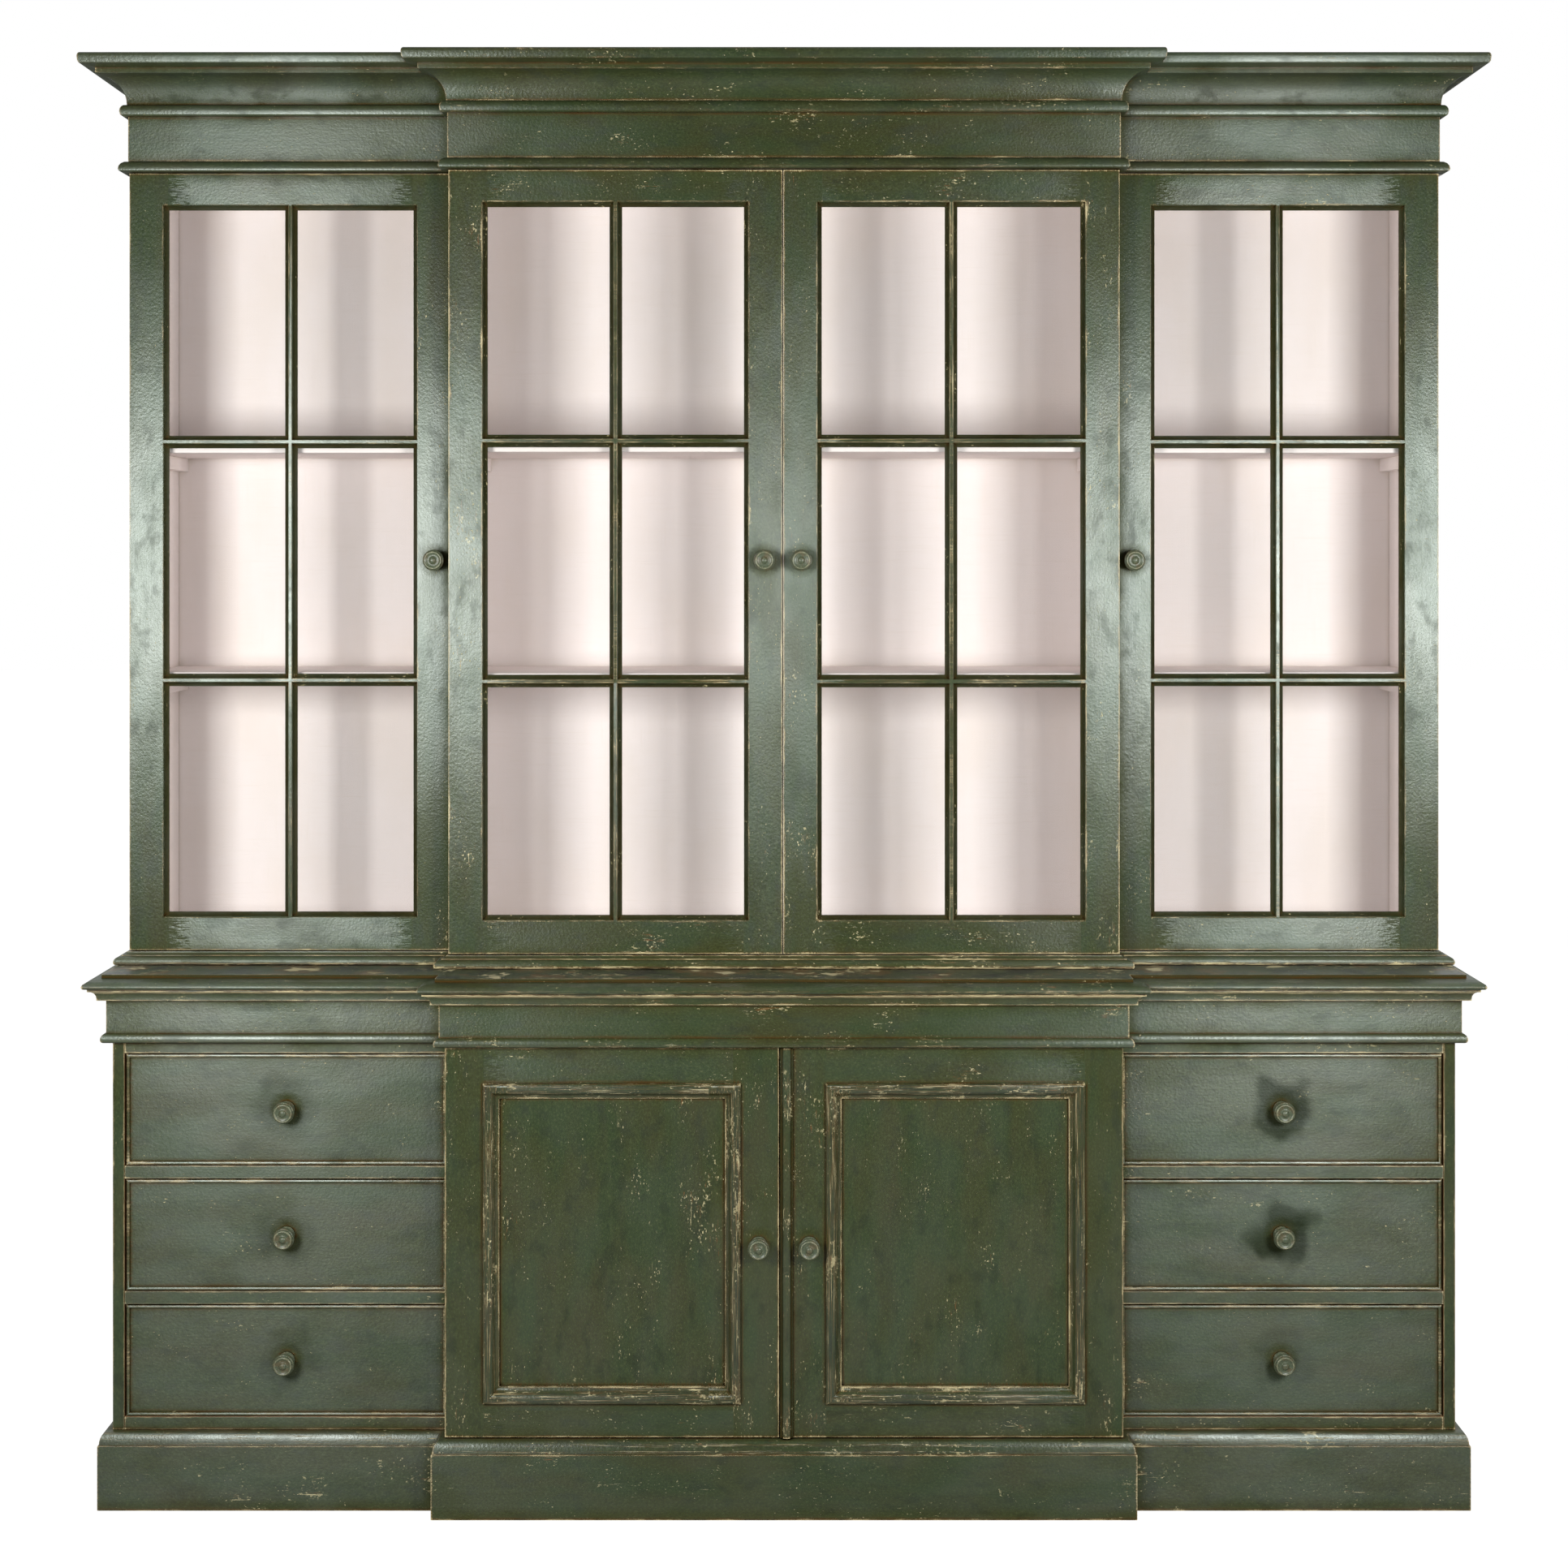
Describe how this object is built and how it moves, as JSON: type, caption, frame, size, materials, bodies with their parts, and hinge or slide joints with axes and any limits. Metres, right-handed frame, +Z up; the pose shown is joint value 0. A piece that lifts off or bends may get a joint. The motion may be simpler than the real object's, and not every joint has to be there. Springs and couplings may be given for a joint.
{
  "type": "breakfront display cabinet",
  "caption": "Breakfront display cabinet: glazed upper case with shelves behind barred doors, on a lower case with drawers in the wings and a panelled cupboard in the middle.",
  "frame": {"origin": "on the floor, under the middle of the cabinet's greatest width and depth", "axes": "+Z up, -Y the front with the doors and drawers, +X to the right as seen from the front"},
  "size_m": [2.448, 0.459, 2.5045],
  "materials": {
    "green_paint": "dark green paint, rubbed through to cream at the edges, satin",
    "cream_paint": "warm off-white paint, eggshell",
    "knob_paint": "dark green-brown paint, polished by use",
    "bare_wood": "bare wood",
    "clear_glass": "clear"
  },
  "bodies": {
    "root": {"plinth": "green_paint", "base_bottom": "green_paint", "base_left_end": "green_paint", "base_right_end": "green_paint", "base_left_partition": "green_paint", "base_right_partition": "green_paint", "base_back": "bare_wood", "left_dustboard_lower": "green_paint", "left_dustboard_upper": "green_paint", "right_dustboard_lower": "green_paint", "right_dustboard_upper": "green_paint", "cupboard_shelf": "bare_wood", "base_frieze": "green_paint", "base_top": "green_paint", "upper_base": "green_paint", "upper_left_end": "green_paint", "upper_right_end": "green_paint", "upper_left_partition": "green_paint", "upper_right_partition": "green_paint", "upper_back": "cream_paint", "upper_top": "green_paint", "upper_frieze": "green_paint", "cornice": "green_paint", "left_shelf_lower": "cream_paint", "left_shelf_upper": "cream_paint", "centre_shelf_lower": "cream_paint", "centre_shelf_upper": "cream_paint", "right_shelf_lower": "cream_paint", "right_shelf_upper": "cream_paint"},
    "left_glazed_door": {"left_glazed_door_frame": "green_paint", "left_glazed_door_glass": "clear_glass", "left_glazed_door_knob": "knob_paint"},
    "centre_left_glazed_door": {"centre_left_glazed_door_frame": "green_paint", "centre_left_glazed_door_glass": "clear_glass", "centre_left_glazed_door_knob": "knob_paint"},
    "centre_right_glazed_door": {"centre_right_glazed_door_frame": "green_paint", "centre_right_glazed_door_glass": "clear_glass", "centre_right_glazed_door_knob": "knob_paint"},
    "right_glazed_door": {"right_glazed_door_frame": "green_paint", "right_glazed_door_glass": "clear_glass", "right_glazed_door_knob": "knob_paint"},
    "left_cupboard_door": {"left_cupboard_door_frame": "green_paint", "left_cupboard_door_panel": "green_paint", "left_cupboard_door_knob": "knob_paint"},
    "right_cupboard_door": {"right_cupboard_door_frame": "green_paint", "right_cupboard_door_panel": "green_paint", "right_cupboard_door_knob": "knob_paint", "astragal": "green_paint"},
    "left_drawer_bottom": {"left_drawer_bottom": "green_paint", "left_drawer_bottom_knob": "knob_paint"},
    "left_drawer_middle": {"left_drawer_middle": "green_paint", "left_drawer_middle_knob": "knob_paint"},
    "left_drawer_top": {"left_drawer_top": "green_paint", "left_drawer_top_knob": "knob_paint"},
    "right_drawer_bottom": {"right_drawer_bottom": "green_paint", "right_drawer_bottom_knob": "knob_paint"},
    "right_drawer_middle": {"right_drawer_middle": "green_paint", "right_drawer_middle_knob": "knob_paint"},
    "right_drawer_top": {"right_drawer_top": "green_paint", "right_drawer_top_knob": "knob_paint"}
  },
  "joints": [
    {"name": "left_glazed_door_hinge", "type": "hinge", "parent": "root", "child": "left_glazed_door", "pos_m": [-1.141, -0.0355, 1.62], "axis": [0, 0, -1], "range_deg": [0, 90]},
    {"name": "centre_left_glazed_door_hinge", "type": "hinge", "parent": "root", "child": "centre_left_glazed_door", "pos_m": [-0.574, -0.0755, 1.62], "axis": [0, 0, -1], "range_deg": [0, 90]},
    {"name": "centre_right_glazed_door_hinge", "type": "hinge", "parent": "root", "child": "centre_right_glazed_door", "pos_m": [0.574, -0.0755, 1.62], "axis": [0, 0, 1], "range_deg": [0, 90]},
    {"name": "right_glazed_door_hinge", "type": "hinge", "parent": "root", "child": "right_glazed_door", "pos_m": [1.141, -0.0355, 1.62], "axis": [0, 0, 1], "range_deg": [0, 90]},
    {"name": "left_cupboard_door_hinge", "type": "hinge", "parent": "root", "child": "left_cupboard_door", "pos_m": [-0.566, -0.1755, 0.465], "axis": [0, 0, -1], "range_deg": [0, 83]},
    {"name": "right_cupboard_door_hinge", "type": "hinge", "parent": "root", "child": "right_cupboard_door", "pos_m": [0.566, -0.1755, 0.465], "axis": [0, 0, 1], "range_deg": [0, 83]},
    {"name": "left_drawer_bottom_slide", "type": "slide", "parent": "root", "child": "left_drawer_bottom", "axis": [0, -1, 0], "range_m": [0, 0.3]},
    {"name": "left_drawer_middle_slide", "type": "slide", "parent": "root", "child": "left_drawer_middle", "axis": [0, -1, 0], "range_m": [0, 0.3]},
    {"name": "left_drawer_top_slide", "type": "slide", "parent": "root", "child": "left_drawer_top", "axis": [0, -1, 0], "range_m": [0, 0.3]},
    {"name": "right_drawer_bottom_slide", "type": "slide", "parent": "root", "child": "right_drawer_bottom", "axis": [0, -1, 0], "range_m": [0, 0.3]},
    {"name": "right_drawer_middle_slide", "type": "slide", "parent": "root", "child": "right_drawer_middle", "axis": [0, -1, 0], "range_m": [0, 0.3]},
    {"name": "right_drawer_top_slide", "type": "slide", "parent": "root", "child": "right_drawer_top", "axis": [0, -1, 0], "range_m": [0, 0.3]}
  ]
}
